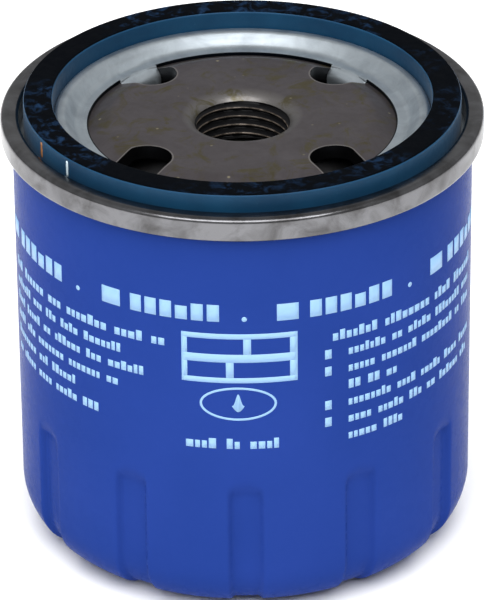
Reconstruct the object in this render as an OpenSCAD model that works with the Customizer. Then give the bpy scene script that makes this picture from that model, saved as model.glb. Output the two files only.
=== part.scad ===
// Spin-on engine oil filter, standing on its closed end with the thread uppermost.
// Units are millimetres. +Z runs up the thread axis and z = 0 is the plane of the closed end.
// Sheet parts are drawn as centre-line paths with a thickness, so every bend follows the sheet.

/* [Overall] */
// Height from the closed end to the sealing face of the gasket
overall_h = 74.2; // [62:0.1:90]
// Outside diameter over the rolled seam
seam_d = 76; // [62:0.5:95]

/* [Can] */
// Sheet thickness of the can
can_t = 0.45; // [0.3:0.05:0.8]
// Outer corner radius round the closed end
base_r = 8; // [5:0.5:10]
// Depth of the dished middle of the closed end
dish_depth = 1.7; // [0.8:0.1:3]
// Radial width of the flat standing ring on the closed end
stand_w = 9; // [4:0.5:12]
// Number of grip flutes
flute_n = 12; // [6:1:16]
// Width of one flute at the can surface
flute_w = 6.4; // [4:0.2:9]
// Width of the flute floor
flute_floor_w = 4; // [2:0.2:6]
// Depth of one flute
flute_depth = 1; // [0.5:0.1:1.5]
// Height of the top end of the flutes above the closed end
flute_top = 24; // [16:0.5:32]

/* [Seam] */
// Height of the rolled seam
seam_h = 4; // [3:0.1:6]
// Step from the gasket sealing face down to the seam crown
seam_drop = 2.3; // [1:0.1:4]
// Gap left for compound between the seam layers
seam_gap = 0.115; // [0.06:0.005:0.2]

/* [Lid] */
// Sheet thickness of the seaming lid
lid_t = 0.5; // [0.35:0.05:0.8]
// Radial width of the lid from its opening to the gasket
flange_w = 5.55; // [4.5:0.05:8]
// Step from the sealing face down to the flat of the lid
flange_drop = 4.7; // [3.8:0.1:6]
// Step from the sealing face down to the ridge beside the gasket
ridge_drop = 2.65; // [2:0.05:3.6]
// Side clearance of a locking tab in its slot
tab_gap = 0.05; // [0.05:0.05:1.5]
// Depth that one locking tab reaches below the lid
tab_h = 3.1; // [2:0.1:3.3]

/* [Gasket] */
// Height of the gasket section
gasket_h = 6.7; // [6:0.1:8]
// Radial width of the gasket section
gasket_w = 4.6; // [3:0.1:6]
// Clearance between the gasket and the outer wall of its groove
gasket_out_gap = 0.75; // [0.3:0.05:1.5]
// Clearance between the gasket and the inner wall of its groove
gasket_in_gap = 0.25; // [0.1:0.05:0.5]

/* [Threaded plate] */
// Bore diameter at the thread crests, for an M16 x 1.5 thread
thread_d = 14.38; // [11:0.01:18]
// Plate thickness
plate_t = 2.2; // [1.6:0.1:2.6]
// Step from the sealing face down to the raised middle of the plate
crown_drop = 3.7; // [3:0.1:4]
// Length of the drawn threaded neck from the plate's top face
neck_h = 8; // [6:0.5:12]
// Wall thickness of the neck outside the bore
neck_t = 2.4; // [1.8:0.1:3.5]
// Radius of the rounded lead-in at the mouth of the bore
lead_r = 2.6; // [1.5:0.1:3.5]
// Number of inlet slots and of locking tabs
slot_n = 4; // [3:1:6]
// Angle of the first inlet slot
slot_first = 44; // [0:1:90]
// Width of one inlet slot
slot_w = 7.9; // [6:0.1:10]
// Number of spot welds between the lid and the plate
weld_n = 6; // [3:1:8]
// Diameter of one spot weld
weld_d = 3; // [2:0.1:4]

/* [Anti-drain valve] */
// Wall thickness of the rubber sleeve round the neck
sleeve_t = 1.8; // [1.2:0.1:2.4]
// Thickness of the rubber membrane
membrane_t = 0.9; // [0.6:0.05:1.1]
// Radial width of the sealing lip
lip_w = 1.2; // [0.8:0.1:1.4]
// Lift of the sealing lip when oil flows in
lip_lift = 1.5; // [0.8:0.1:1.6]

/* [Filter element] */
// Radial gap between the element and the can
element_gap = 4.2; // [3.5:0.1:7]
// Sheet thickness of the end caps
cap_t = 0.4; // [0.3:0.05:0.6]
// Height of the turned rim of each end cap
cap_rim_h = 3; // [2:0.1:5]
// Thickness of the adhesive that bonds the pleats into each cap
potting_t = 0.8; // [0.5:0.1:1.5]
// Number of pleats
pleat_n = 42; // [24:1:48]
// Thickness of the filter paper
paper_t = 0.6; // [0.4:0.05:0.7]
// Sheet thickness of the centre tube
tube_t = 0.4; // [0.3:0.05:0.8]
// Width of one slot in the centre tube
tube_slot_w = 4; // [2:0.2:5]
// Height of one slot in the centre tube
tube_slot_h = 5; // [2:0.2:6]
// Rows of slots along the centre tube
tube_rows = 5; // [3:1:6]
// Slots in one row round the centre tube
tube_cols = 8; // [6:1:10]

/* [Bypass valve] */
// Diameter of the bypass port in the lower end cap
port_d = 14; // [10:0.5:16.8]
// Width of the sealing land round the port
land_w = 2.2; // [1.5:0.1:2.4]
// Thickness of the rubber sealing disc
seal_t = 1.2; // [0.8:0.1:1.8]
// Lift of the bypass valve
bypass_lift = 3.5; // [2:0.1:4]
// Working length of the bypass spring
bypass_spring_h = 10.4; // [9:0.1:14]
// Wire diameter of the bypass spring
bypass_wire_d = 0.8; // [0.6:0.1:1.1]
// Sheet thickness of the bypass cage
cage_t = 0.5; // [0.3:0.05:0.7]
// Diameter of the valve stem
stem_d = 2.8; // [2:0.1:4]

/* [Element spring] */
// Working length of the spring under the element
element_spring_h = 9.4; // [8:0.2:14]
// Wire diameter of the element spring
element_wire_d = 1.8; // [1.2:0.1:2.2]
// Mean diameter of the element spring
element_spring_d = 28; // [22:0.5:32]
// Sheet thickness of the spring seat
seat_t = 0.5; // [0.3:0.1:1]
// Travel of the element against its spring
element_travel = 2; // [1:0.1:2.5]

/* [View] */
// Sub-part to show

/* [Hidden] */

$fn = 96;
fit = 0.02;        // faces of neighbouring parts that rest on each other
touch_gap = 0.05;  // parts of different bodies that meet at rest
bend_n = 4;        // straight steps in a sheet bend

// Radii of the seam layers, from the outside inwards
seam_or = seam_d / 2;
seam_wall_r = seam_or - lid_t / 2;
body_hook_r = seam_or - lid_t - seam_gap - can_t / 2;
cover_hook_r = body_hook_r - can_t / 2 - seam_gap - lid_t / 2;
can_or = cover_hook_r - lid_t / 2 - seam_gap;
can_wall_r = can_or - can_t / 2;
can_ir = can_or - can_t;
chuck_r = can_ir - 0.1 - lid_t / 2;
gasket_or = chuck_r - lid_t / 2 - gasket_out_gap;
gasket_ir = gasket_or - gasket_w;
groove_r = gasket_ir - gasket_in_gap - lid_t / 2;
opening_r = gasket_ir - flange_w;

// Heights in the head of the filter
seam_top = overall_h - seam_drop;
seam_mid_top = seam_top - lid_t / 2;
seam_low = seam_top - seam_h;
hook_top = seam_top - lid_t - seam_gap - can_t / 2;
flange_z = overall_h - flange_drop - lid_t / 2;
ridge_z = overall_h - ridge_drop - lid_t / 2;
groove_z = overall_h - gasket_h - lid_t / 2;
crown_z = overall_h - crown_drop;
brim_z = flange_z - lid_t / 2 - fit;
rim_z = groove_z - lid_t / 2 - fit;
neck_low = crown_z - neck_h;
arch_r = body_hook_r - can_wall_r - 0.08;

// Plate, slots and tabs
bore_r = thread_d / 2;
neck_or = bore_r + neck_t;
rim_or = chuck_r - lid_t / 2 - 0.25;
slot_r = slot_w / 2;
slot_c = opening_r - 3.6;
slot_end = opening_r + 0.15;
shoulder_in = opening_r - 3.65;
shoulder_out = opening_r - 0.25;
brim_out = groove_r - 2.1;
step_out = groove_r - 0.9;
tab_face = opening_r - 1.05 - lid_t / 2;
tab_w = slot_w - 2 * tab_gap;
tab_slope = 1.3;    // drop of the sloping part of a tab
weld_r = (gasket_or + gasket_ir) / 2;
weld_sink = 0.3;

// Anti-drain valve
sleeve_ir = neck_or + fit;
sleeve_or = sleeve_ir + sleeve_t;
sleeve_top = crown_z - plate_t - 0.04;
cap_top = neck_low - 1.5;
foot_or = sleeve_or + 2;
lip_ir = slot_end + 0.6;
lip_or = lip_ir + lip_w;
lip_top = brim_z - plate_t - touch_gap;
lip_h = 1.5;
root_z = sleeve_top - 1.35;
skirt_w = slot_c - sleeve_or;
valley_z = root_z - min(0.36 * skirt_w, root_z - cap_top - lip_lift - 1.1);

// Element
element_or = can_or - element_gap;
cap_rim_r = element_or - cap_t / 2;
cap_hole_r = neck_or + 0.8;
collar_r = cap_hole_r + cap_t / 2;
tube_ir = collar_r + cap_t / 2 + 1.8;
tube_or = tube_ir + tube_t;
cap_bottom = cap_top - cap_t;
potting_or = cap_rim_r - cap_t / 2 - fit;
dish_top = dish_depth + can_t;
seat_low = dish_top + element_spring_h;
low_cap_z = seat_low + seat_t;
low_cap_top = low_cap_z + cap_t;
media_low = low_cap_top + potting_t;
media_top = cap_bottom - potting_t;
media_h = media_top - media_low;
pleat_or = element_or - 1.2;
pleat_ir = tube_or + 0.9;

// Bypass valve
port_r = port_d / 2;
seal_or = port_r + land_w;
seal_ir = 3;
seal_low = low_cap_top + touch_gap;
disc_low = seal_low + seal_t;
disc_t = 0.6;
cage_or = tube_ir - 0.9;
cage_top = disc_low + disc_t + bypass_spring_h + cage_t;
stem_top = cage_top + 2;
cage_window = cage_or * 0.8;
bypass_spring_r = port_r - 1.6;

// Fillet and sheet functions: a path is a list of [x, y, bend radius]
function rev(v) = [for (i = [len(v) - 1 : -1 : 0]) v[i]];
function xy(p) = [p[0], p[1]];
function wrap(a) = a > 180 ? a - 360 : a < -180 ? a + 360 : a;
function fillet(a, b, c, n) =
    let (
        u = (xy(a) - xy(b)) / norm(xy(a) - xy(b)),
        v = (xy(c) - xy(b)) / norm(xy(c) - xy(b)),
        half = acos(u * v) / 2,
        r = b[2],
        m = xy(b) + (u + v) / norm(u + v) * r / sin(half),
        p = xy(b) + u * r / tan(half),
        q = xy(b) + v * r / tan(half),
        a0 = atan2(p[1] - m[1], p[0] - m[0]),
        da = wrap(atan2(q[1] - m[1], q[0] - m[0]) - a0)
    )
    [for (i = [0 : n]) m + r * [cos(a0 + da * i / n), sin(a0 + da * i / n)]];
function corner(p, i, n) =
    let (k = len(p))
    p[i][2] > 0 ? fillet(p[(i + k - 1) % k], p[i], p[(i + 1) % k], n) : [xy(p[i])];
function open_path(p, n) =
    [for (i = [0 : len(p) - 1])
        each (i == 0 || i == len(p) - 1 ? [xy(p[i])] : corner(p, i, n))];
function closed_path(p, n) = [for (i = [0 : len(p) - 1]) each corner(p, i, n)];
function left_of(a, b) = [a[1] - b[1], b[0] - a[0]] / norm(b - a);
function miter(s, i) =
    let (
        k = len(s) - 1,
        n1 = left_of(s[max(i - 1, 0)], s[max(i, 1)]),
        n2 = left_of(s[min(i, k - 1)], s[min(i + 1, k)]),
        m = (n1 + n2) / norm(n1 + n2)
    )
    m / (m * n2);
function strip(s, t) =
    concat([for (i = [0 : len(s) - 1]) s[i] + miter(s, i) * t / 2],
           rev([for (i = [0 : len(s) - 1]) s[i] - miter(s, i) * t / 2]));

module sheet(p, t, n = bend_n) polygon(strip(open_path(p, n), t));
module rounded(p, n = bend_n) polygon(closed_path(p, n));
module ring(r0, r1, z0, z1) rotate_extrude() translate([r0, z0]) square([r1 - r0, z1 - z0]);
module around(n, first = 0) for (i = [0 : n - 1]) rotate(first + i * 360 / n) children();

// Closed coil spring standing on z = 0, as a tube swept along a helix with flat end turns
module coil(mean_r, wire, h, turns, sides = 8, per_turn = 20) {
    r = wire / 2;
    steps = turns * per_turn;
    rise = h - wire;
    function climb(t) = t < 1 ? 0 : t > turns - 1 ? 1 : (t - 1) / (turns - 2);
    pts = [for (i = [0 : steps], k = [0 : sides - 1])
        let (t = i / per_turn, a = 360 * t, b = 360 * k / sides, rr = mean_r + r * cos(b),
             lift = wire * 1.04 * (min(t, 1) + max(t - turns + 1, 0)))
        [rr * cos(a), rr * sin(a),
         r + lift + (rise - wire * 2.08) * climb(t) + r * sin(b)]];
    faces = concat(
        [[for (k = [0 : sides - 1]) k]],
        [[for (k = [sides - 1 : -1 : 0]) steps * sides + k]],
        [for (i = [0 : steps - 1], k = [0 : sides - 1])
            let (k2 = (k + 1) % sides)
            [i * sides + k, (i + 1) * sides + k, (i + 1) * sides + k2, i * sides + k2]]);
    polyhedron(pts, faces);
}

// Half sections of the closed end: wall radius r, grown inwards by the sheet thickness t
module end_section(r, t, top) {
    c = base_r - t;
    foot = can_or - base_r - stand_w;
    rounded([
        [0, dish_depth + t, 0], [foot - 2.2, dish_depth + t, 1.5], [foot, t, 1.5],
        [r - t, t, c], [r - t, top, 0], [0, top, 0]
    ], 8);
}
module flute_bars(grow) {
    w = flute_w / 2 + grow;
    f = flute_floor_w / 2 + grow;
    floor_r = can_or - flute_depth;
    out = 2;
    slope = (w - f) / flute_depth;
    around(flute_n, -90)
        translate([0, 0, -1]) linear_extrude(flute_top + grow + 1)
            polygon([
                [can_or - base_r - 1.5, -f], [floor_r, -f], [can_or + out, -w - slope * out],
                [can_or + out, w + slope * out], [floor_r, f], [can_or - base_r - 1.5, f]
            ]);
}
module end_solid(t, top) {
    difference() {
        rotate_extrude() end_section(can_or, t, top);
        flute_bars(t);
    }
    rotate_extrude() end_section(can_or - flute_depth, t, flute_top + 2 * base_r / 3);
}

module can() {
    split_z = flute_top + base_r;
    color("#2f4d9a") {
        difference() {
            end_solid(0, split_z);
            difference() {
                end_solid(can_t, split_z + 1);
                translate([0, 0, split_z + 2]) cube(1, center = true);
            }
        }
        rotate_extrude()
            sheet([
                [can_wall_r, split_z, 0], [can_wall_r, hook_top, 0.03],
                [body_hook_r, hook_top, arch_r], [body_hook_r, seam_low + 0.85, 0]
            ], can_t);
    }
}

module tab_section()
    sheet([
        [opening_r + 0.35, flange_z, 0], [opening_r - 0.15, flange_z, 0.8],
        [tab_face, flange_z - tab_slope, 1.6], [tab_face, flange_z - lid_t / 2 - tab_h, 0]
    ], lid_t);

module seaming_lid() {
    color("#a9b4bd") difference() {
        union() {
            rotate_extrude()
                sheet([
                    [opening_r, flange_z, 0], [groove_r - 3.1, flange_z, 1.5],
                    [groove_r - 1.25, ridge_z, 0.7], [groove_r, ridge_z, 0.45],
                    [groove_r, groove_z, 0.4], [chuck_r, groove_z, 0.4],
                    [chuck_r, seam_mid_top, 0.4], [seam_wall_r, seam_mid_top, 0.65],
                    [seam_wall_r, seam_low + lid_t / 2, 0.35],
                    [cover_hook_r, seam_low + lid_t / 2, 0.35], [cover_hook_r, seam_top - 1.9, 0]
                ], lid_t);
            around(slot_n, slot_first)
                rotate([90, 0, 0]) linear_extrude(tab_w, center = true) tab_section();
        }
        around(weld_n, 0)
            translate([weld_r, 0, groove_z]) cylinder(d = weld_d, h = lid_t * 2, center = true);
    }
}

module seam_sealant() {
    low = seam_top - 1.88;
    x0 = can_or + fit;
    x1 = body_hook_r - can_t / 2 - fit;
    color("#3a3f45") rotate_extrude()
        polygon([[x0, low], [x1 - 0.1, low], [x1 - 0.1, low + 0.2], [(x0 + x1) / 2, low + 0.46],
                 [x0, low + 0.5]]);
}

module spot_welds() {
    low = rim_z - weld_sink;
    color("#8d8f92") around(weld_n, 0)
        translate([weld_r, 0, low]) cylinder(d = weld_d, h = groove_z + lid_t / 2 - 0.05 - low);
}

module threaded_plate() {
    under = crown_z - plate_t;
    color("#6a6268") difference() {
        rotate_extrude()
            rounded([
                [bore_r, neck_low, 0], [bore_r, crown_z, lead_r], [shoulder_in, crown_z, 3],
                [shoulder_out, brim_z, 1.5], [brim_out, brim_z, 0.5], [step_out, rim_z, 0.5],
                [rim_or, rim_z, 0], [rim_or, rim_z - plate_t, 0],
                [step_out - 0.9, rim_z - plate_t, 0.8], [brim_out - 0.9, brim_z - plate_t, 0.5],
                [shoulder_out - 0.45, brim_z - plate_t, 1.5], [shoulder_in - 0.45, under, 3],
                [neck_or, under, 0.8], [neck_or, neck_low, 0]
            ], 5);
        around(slot_n, slot_first) translate([0, 0, neck_low - 1]) {
            translate([slot_c, 0, 0]) cylinder(r = slot_r, h = neck_h + 2);
            translate([slot_c, -slot_r, 0]) cube([slot_end - slot_c, slot_w, neck_h + 2]);
        }
        around(weld_n, 0)
            translate([weld_r, 0, rim_z - weld_sink]) cylinder(d = weld_d, h = 2);
    }
}

module sealing_gasket() {
    low = groove_z + lid_t / 2;
    color("#16384f") rotate_extrude()
        rounded([
            [gasket_ir, low, 0.3], [gasket_or, low, 0.3],
            [gasket_or, overall_h, 0.45], [gasket_ir, overall_h, 0.45]
        ]);
}

module valve_sleeve() {
    foot_low = cap_top + touch_gap;
    color("#2a2b2d") rotate_extrude()
        polygon([
            [sleeve_ir, foot_low], [foot_or, foot_low], [foot_or, foot_low + 0.9],
            [sleeve_or, foot_low + 1.4], [sleeve_or, sleeve_top],
            [sleeve_ir + 1, sleeve_top], [sleeve_ir, sleeve_top - 1]
        ]);
}

module valve_membrane()
    color("#343638") rotate_extrude()
        sheet([
            [sleeve_or + fit, root_z, 0], [sleeve_or + 0.23 * skirt_w, root_z, 0.6],
            [sleeve_or + 0.76 * skirt_w, valley_z, 1], [slot_c + 1, valley_z, 1.5],
            [lip_ir - 0.7, lip_top - lip_h + 0.6, 0.5], [lip_ir, lip_top - lip_h + 0.6, 0]
        ], membrane_t);

module valve_lip()
    color("#26282a") rotate_extrude()
        rounded([
            [lip_ir, lip_top - lip_h, 0.25], [lip_or, lip_top - lip_h, 0.25],
            [lip_or, lip_top, 0.25], [lip_or - 0.4, lip_top, 0], [lip_ir, lip_top - 0.4, 0]
        ], 3);

module upper_end_cap()
    color("#b5bcc2") rotate_extrude()
        sheet([
            [collar_r, cap_top - 2.2, 0], [collar_r, cap_top - cap_t / 2, 0.4],
            [cap_rim_r, cap_top - cap_t / 2, 0.6], [cap_rim_r, cap_top - cap_rim_h, 0]
        ], cap_t, 3);

// Adhesive bead in a cap, its edges round so that they clear the bends of the cap
module potting(r0, z0, z1) {
    c = potting_t * 0.45;
    r1 = potting_or - 0.15;
    color("#c8b48a") rotate_extrude()
        rounded([[r0, z0, c], [r1, z0, c], [r1, z1, c], [r0, z1, c]]);
}

module upper_potting() potting(collar_r + cap_t / 2 + 0.15, media_top, cap_bottom);

// The pleat path starts and ends at one outer fold, where the clip joins the two ends
function fold(i) =
    let (
        outer = i % 2 == 0, r = outer ? pleat_or - paper_t / 2 : pleat_ir + paper_t / 2,
        w = outer ? 0.6 : 0.5, a = -90 + 180 / pleat_n * i, s = asin(w / r)
    )
    [for (d = [-s, s]) [r * cos(a + d), r * sin(a + d), w - 0.1]];
function join_end(side, up) =
    [side * (paper_t / 2 + 0.02), -pleat_or + up, up > 0 ? 1 : 0];
module pleated_media()
    color("#e2d6b4") translate([0, 0, media_low]) linear_extrude(media_h)
        sheet(concat(
            [join_end(1, 0), join_end(1, 3.2)],
            [for (i = [1 : 2 * pleat_n - 1]) each fold(i)],
            [join_end(-1, 3.2), join_end(-1, 0)]
        ), paper_t, 2);

module media_clip() {
    half = paper_t + 0.04 + 0.15 + 0.02;
    tip = -pleat_or - 0.15 - 0.02;
    color("#9aa0a4") translate([0, 0, media_low + 0.2]) linear_extrude(media_h - 0.4)
        sheet([[-half, -pleat_or + 2.6, 0], [-half, tip, 0.2], [half, tip, 0.2],
               [half, -pleat_or + 2.6, 0]], 0.3, 3);
}

module centre_tube() {
    pitch = media_h / tube_rows;
    color("#a5abb0") difference() {
        ring(tube_ir, tube_or, media_low, media_top);
        for (row = [0 : tube_rows - 1])
            around(tube_cols, (row % 2) * 180 / tube_cols)
                translate([tube_ir - 2, -tube_slot_w / 2,
                           media_low + pitch * (row + 0.5) - tube_slot_h / 2])
                    cube([tube_t + 4, tube_slot_w, tube_slot_h]);
    }
}

module lower_potting() potting(tube_ir - 0.1, low_cap_top, media_low);

module lower_end_cap()
    color("#b5bcc2") rotate_extrude()
        sheet([
            [port_r, low_cap_z + cap_t / 2, 0], [cap_rim_r, low_cap_z + cap_t / 2, 0.6],
            [cap_rim_r, low_cap_z + cap_rim_h, 0]
        ], cap_t, 3);

module bypass_cage() {
    color("#8f969b") difference() {
        rotate_extrude()
            sheet([
                [tube_ir - 0.2, low_cap_top + cage_t / 2, 0],
                [cage_or - cage_t / 2, low_cap_top + cage_t / 2, 0.3],
                [cage_or - cage_t / 2, cage_top - cage_t / 2, 0.8],
                [stem_d / 2 + 0.06, cage_top - cage_t / 2, 0]
            ], cage_t, 3);
        around(2, 45) translate([0, 0, low_cap_top + 2.2 + (cage_top - low_cap_top - 5) / 2])
            cube([3 * cage_or, cage_window, cage_top - low_cap_top - 5], center = true);
    }
}

module bypass_poppet()
    color("#7e858b") rotate_extrude()
        polygon([
            [0, seal_low + 0.35], [seal_ir - fit, seal_low + 0.35], [seal_ir - fit, disc_low],
            [seal_or - 0.2, disc_low], [seal_or - 0.2, disc_low + disc_t],
            [bypass_spring_r - bypass_wire_d / 2 - 0.6, disc_low + disc_t],
            [bypass_spring_r - bypass_wire_d / 2 - 1, disc_low + disc_t + 1.2],
            [stem_d / 2, disc_low + disc_t + 1.6], [stem_d / 2, stem_top - 0.4],
            [stem_d / 2 - 0.4, stem_top], [0, stem_top]
        ]);

module bypass_seal()
    color("#1f2021") ring(seal_ir, seal_or, seal_low, disc_low);

module bypass_spring()
    color("#9aa1a8") translate([0, 0, disc_low + disc_t + fit])
        coil(bypass_spring_r, bypass_wire_d, bypass_spring_h - 2 * fit, 5.5);

module spring_seat() {
    r0 = port_r + 0.8;
    r1 = element_spring_d / 2 + element_wire_d / 2 + 0.7;
    color("#8f969b") rotate_extrude()
        sheet([
            [r0, low_cap_z - seat_t / 2, 0], [r1, low_cap_z - seat_t / 2, 0.4],
            [r1, low_cap_z - 2.2, 0]
        ], seat_t, 3);
}

module element_spring()
    color("#878e94") translate([0, 0, dish_top + fit])
        coil(element_spring_d / 2, element_wire_d, element_spring_h - 2 * fit, 3.5, 8, 32);

can();
seaming_lid();
seam_sealant();
spot_welds();
threaded_plate();
sealing_gasket();
valve_sleeve();
valve_membrane();
valve_lip();
upper_end_cap();
upper_potting();
pleated_media();
media_clip();
centre_tube();
lower_potting();
lower_end_cap();
bypass_cage();
bypass_poppet();
bypass_seal();
bypass_spring();
spring_seat();
element_spring();
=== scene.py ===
import math
import random

import bmesh
import bpy
from mathutils import Matrix, Vector


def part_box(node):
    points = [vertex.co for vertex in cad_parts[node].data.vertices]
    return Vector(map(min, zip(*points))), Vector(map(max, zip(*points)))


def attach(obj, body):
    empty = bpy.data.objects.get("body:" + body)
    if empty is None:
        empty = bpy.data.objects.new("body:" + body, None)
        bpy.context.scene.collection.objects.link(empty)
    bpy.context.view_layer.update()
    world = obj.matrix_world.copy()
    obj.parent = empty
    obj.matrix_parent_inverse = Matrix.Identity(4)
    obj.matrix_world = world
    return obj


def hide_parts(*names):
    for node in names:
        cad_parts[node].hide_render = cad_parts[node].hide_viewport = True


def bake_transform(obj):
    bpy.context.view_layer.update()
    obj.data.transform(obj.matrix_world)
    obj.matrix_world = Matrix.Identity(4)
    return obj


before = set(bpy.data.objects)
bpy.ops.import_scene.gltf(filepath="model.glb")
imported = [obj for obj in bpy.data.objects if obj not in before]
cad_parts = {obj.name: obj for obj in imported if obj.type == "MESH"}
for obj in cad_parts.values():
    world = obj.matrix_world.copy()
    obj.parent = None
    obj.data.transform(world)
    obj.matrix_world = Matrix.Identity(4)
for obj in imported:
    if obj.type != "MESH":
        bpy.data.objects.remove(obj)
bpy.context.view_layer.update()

MM = 0.001

# ---------------------------------------------------------------------------------------------
# Sizes, in millimetres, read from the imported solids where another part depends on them
# ---------------------------------------------------------------------------------------------


def node_mm(name):
    low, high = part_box(name)
    return [v / MM for v in low], [v / MM for v in high]


TOP = node_mm("sealing_gasket")[1][2]
SEAM_R = node_mm("seaming_lid")[1][0]
GASKET_R = node_mm("sealing_gasket")[1][0]
NECK_LOW = node_mm("threaded_plate")[0][2]
CAN_T = 0.45
LID_T = 0.5
SEAM_GAP = 0.115
GASKET_W = 4.6
GASKET_H = 6.7
CAN_R = SEAM_R - 2 * LID_T - CAN_T - 3 * SEAM_GAP
GASKET_IN = GASKET_R - GASKET_W
GASKET_LOW = TOP - GASKET_H
SEAM_TOP = TOP - 2.3
SEAM_LOW = SEAM_TOP - 4.0
CHUCK_R = CAN_R - CAN_T - 0.1 - LID_T / 2
GROOVE_R = GASKET_IN - 0.25 - LID_T / 2
OPEN_R = GASKET_IN - 5.55
FLANGE_Z = TOP - 4.7 - LID_T / 2
RIDGE_Z = TOP - 2.65 - LID_T / 2
GROOVE_Z = GASKET_LOW - LID_T / 2
CROWN_Z = TOP - 3.7
PLATE_T = 2.2
BORE_R = 7.19
NECK_R = BORE_R + 2.4
LEAD_R = 2.6
THREAD_PITCH = 1.5
THREAD_DEPTH = 0.82
THREAD_PHASE = 0.363
THREAD_TOP = CROWN_Z - 1.47
BASE_R = 8.0
DISH = 1.7
STAND_W = 9.0
FLUTES = 12
FLUTE_DEPTH = 1.0
FLUTE_TOP = 24.0
SLOTS = 4
SLOT_FIRST = 44.0
SLOT_C = OPEN_R - 3.6
SHOULDER_IN = OPEN_R - 3.65
SLOT_END = OPEN_R + 0.15
SLOT_R = 3.95
TAB_W = 7.8
TAB_H = 3.1
TAB_SLOPE = 1.3
DENT_DEPTH = 0.16
TAB_FACE = OPEN_R - 1.05 - LID_T / 2

# ---------------------------------------------------------------------------------------------
# Small geometry helpers
# ---------------------------------------------------------------------------------------------


def smooth(a, b, x):
    t = min(1.0, max(0.0, (x - a) / (b - a)))
    return t * t * (3 - 2 * t)


def slot_angle(k):
    return math.radians(SLOT_FIRST + 360 / SLOTS * k)


def fillet_path(points, steps=6, closed=False):
    """A list of (x, y, radius) as a polyline with its corners rounded."""
    out = []
    n = len(points)
    for i, (x, y, r) in enumerate(points):
        if r <= 0 or (not closed and i in (0, n - 1)):
            out.append((x, y))
            continue
        b = Vector((x, y))
        u = (Vector(points[i - 1][:2]) - b).normalized()
        v = (Vector(points[(i + 1) % n][:2]) - b).normalized()
        half = u.angle(v) / 2
        centre = b + (u + v).normalized() * (r / math.sin(half))
        p = b + u * (r / math.tan(half)) - centre
        q = b + v * (r / math.tan(half)) - centre
        a0 = math.atan2(p.y, p.x)
        da = (math.atan2(q.y, q.x) - a0 + math.pi) % math.tau - math.pi
        for k in range(steps + 1):
            a = a0 + da * k / steps
            out.append((centre.x + r * math.cos(a), centre.y + r * math.sin(a)))
    clean = [out[0]]
    for p in out[1:]:
        if math.dist(p, clean[-1]) > 1e-4:
            clean.append(p)
    return clean


def resample(path, longest):
    """The polyline with no straight piece longer than this."""
    out = [path[0]]
    for a, b in zip(path, path[1:]):
        n = max(1, math.ceil(math.dist(a, b) / longest))
        out += [(a[0] + (b[0] - a[0]) * k / n, a[1] + (b[1] - a[1]) * k / n)
                for k in range(1, n + 1)]
    return out


def link_object(name, data):
    obj = bpy.data.objects.new(name, data)
    bpy.context.scene.collection.objects.link(obj)
    return obj


def thicken(obj, thickness, offset):
    """Give a sheet its thickness: on both sides of it at offset 0, outward at 1."""
    solid = obj.modifiers.new("sheet", "SOLIDIFY")
    solid.thickness = thickness * MM
    solid.offset = offset
    return solid


def new_object(name, verts_mm, faces, body, materials, shade=True, face_mat=None):
    mesh = bpy.data.meshes.new(name)
    mesh.from_pydata([Vector(v) * MM for v in verts_mm], [], faces)
    mesh.validate()
    obj = link_object(name, mesh)
    for m in materials:
        mesh.materials.append(m)
    if face_mat:
        for poly in mesh.polygons:
            poly.material_index = face_mat(poly)
    bm = bmesh.new()
    bm.from_mesh(mesh)
    bmesh.ops.remove_doubles(bm, verts=bm.verts, dist=1e-7)
    bmesh.ops.recalc_face_normals(bm, faces=bm.faces)
    bm.to_mesh(mesh)
    bm.free()
    if shade:
        mesh.shade_smooth()
    if body:
        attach(obj, body)
    return obj


def grid_faces(rows, cols, wrap_rows=False, wrap_cols=False):
    """Quads between rows of vertices laid out row by row."""
    faces = []
    for i in range(rows if wrap_rows else rows - 1):
        for j in range(cols if wrap_cols else cols - 1):
            i2, j2 = (i + 1) % rows, (j + 1) % cols
            faces.append((i * cols + j, i2 * cols + j, i2 * cols + j2, i * cols + j2))
    return faces


def revolve(name, profile, body, materials, segments=192, closed=True, radius=None, **kw):
    """The profile turned round Z. radius(r, z, angle) can reshape it on the way."""
    verts = []
    for i in range(segments):
        a = math.tau * i / segments
        for r, z in profile:
            rr = radius(r, z, a) if radius else r
            verts.append((rr * math.cos(a), rr * math.sin(a), z))
    return new_object(name, verts, grid_faces(segments, len(profile), True, closed),
                      body, materials, **kw)


def sharp_edges(obj, degrees):
    """Smooth shading that keeps the true corners."""
    mesh = obj.data
    bm = bmesh.new()
    bm.from_mesh(mesh)
    limit = math.radians(degrees)
    for e in bm.edges:
        e.smooth = not (len(e.link_faces) == 2 and e.calc_face_angle(0) > limit)
    bm.to_mesh(mesh)
    bm.free()


# ---------------------------------------------------------------------------------------------
# Materials: every one is procedural, in object coordinates
# ---------------------------------------------------------------------------------------------


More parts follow.
